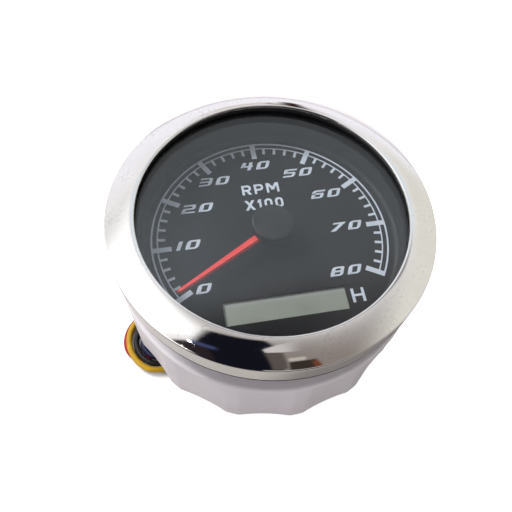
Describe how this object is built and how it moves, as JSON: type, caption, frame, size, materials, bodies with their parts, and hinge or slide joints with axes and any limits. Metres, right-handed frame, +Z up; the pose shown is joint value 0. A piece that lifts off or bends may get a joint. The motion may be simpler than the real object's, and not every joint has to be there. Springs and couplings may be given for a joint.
{
  "type": "tachometer",
  "caption": "Round panel tachometer with a polished bezel, black dial, red pointer, display window, white case, locking ring and free wires.",
  "frame": {"origin": "centre of the rear boss's face, on the surface that the gauge stands on", "axes": "+Z up through the dial's centre, +Y towards the middle mark of the scale, +X to the right of the dial"},
  "size_m": [0.0976, 0.095, 0.0574],
  "materials": {
    "bezel_steel": "polished",
    "lens_glass": "clear",
    "black_rubber": "matte",
    "black_plastic": "satin",
    "dial_film": "satin",
    "print_ink": "matte",
    "pointer_red": "satin",
    "milky_plastic": "satin",
    "display_glass": "satin",
    "strip_rubber": "matte",
    "board_laminate": "satin",
    "lamp_resin": "gloss",
    "chip_epoxy": "matte",
    "capacitor_can": "satin",
    "header_plastic": "satin",
    "screw_steel": "zinc plated",
    "movement_plastic": "satin",
    "stator_steel": "satin",
    "coil_copper": "enamelled",
    "tinned_copper": "tinned",
    "rotor_magnet": "matte",
    "gear_acetal": "satin",
    "case_white": "satin",
    "ring_white": "satin",
    "wire_red": "satin",
    "wire_yellow": "satin",
    "wire_black": "satin",
    "wire_blue": "satin"
  },
  "bodies": {
    "gauge": {"bezel": "bezel_steel", "lens": "lens_glass", "lens_gasket": "black_rubber", "trim_ring": "black_plastic", "dial_plate": "dial_film", "dial_print": "print_ink", "light_guide": "milky_plastic", "display_glass": "display_glass", "display_frame": "black_plastic", "display_backlight": "milky_plastic", "contact_strips": "strip_rubber", "circuit_board": "board_laminate", "lamps": "lamp_resin", "control_chip": "chip_epoxy", "capacitor": "capacitor_can", "voltage_regulator": "chip_epoxy", "wire_header": "header_plastic", "board_screws": "screw_steel", "movement_base": "movement_plastic", "movement_cover": "movement_plastic", "stator": "stator_steel", "coils": "coil_copper", "terminal_pins": "tinned_copper", "case": "case_white", "panel_gasket": "black_rubber", "grommet": "black_rubber", "wire_red": "wire_red", "wire_yellow": "wire_yellow", "wire_black": "wire_black", "wire_blue": "wire_blue", "wire_tips": "tinned_copper"},
    "pointer": {"pointer": "pointer_red", "pointer_cap": "black_plastic", "shaft_gear": "gear_acetal"},
    "middle_gear": {"middle_gear": "gear_acetal"},
    "rotor": {"rotor": "rotor_magnet"},
    "locking_ring": {"locking_ring": "ring_white"}
  },
  "joints": [
    {"name": "pointer_turn", "type": "hinge", "parent": "gauge", "child": "pointer", "pos_m": [0, 0, 0.045], "axis": [0, 0, 1], "range_deg": [-240, 0]},
    {"name": "middle_gear_turn", "type": "hinge", "parent": "gauge", "child": "middle_gear", "pos_m": [-0.00686, 0.0055, 0.031], "axis": [0, 0, 1], "range_deg": [-1, 1441]},
    {"name": "rotor_turn", "type": "hinge", "parent": "gauge", "child": "rotor", "pos_m": [0, 0.011, 0.031], "axis": [0, 0, 1], "range_deg": [-8641, 1]},
    {"name": "ring_travel", "type": "slide", "parent": "gauge", "child": "locking_ring", "axis": [0, 0, 1], "range_m": [-0.003, 0.0094]}
  ],
  "couplings": [
    {"joint": "middle_gear_turn", "follows": "pointer_turn", "ratio": -6},
    {"joint": "rotor_turn", "follows": "pointer_turn", "ratio": 36}
  ]
}
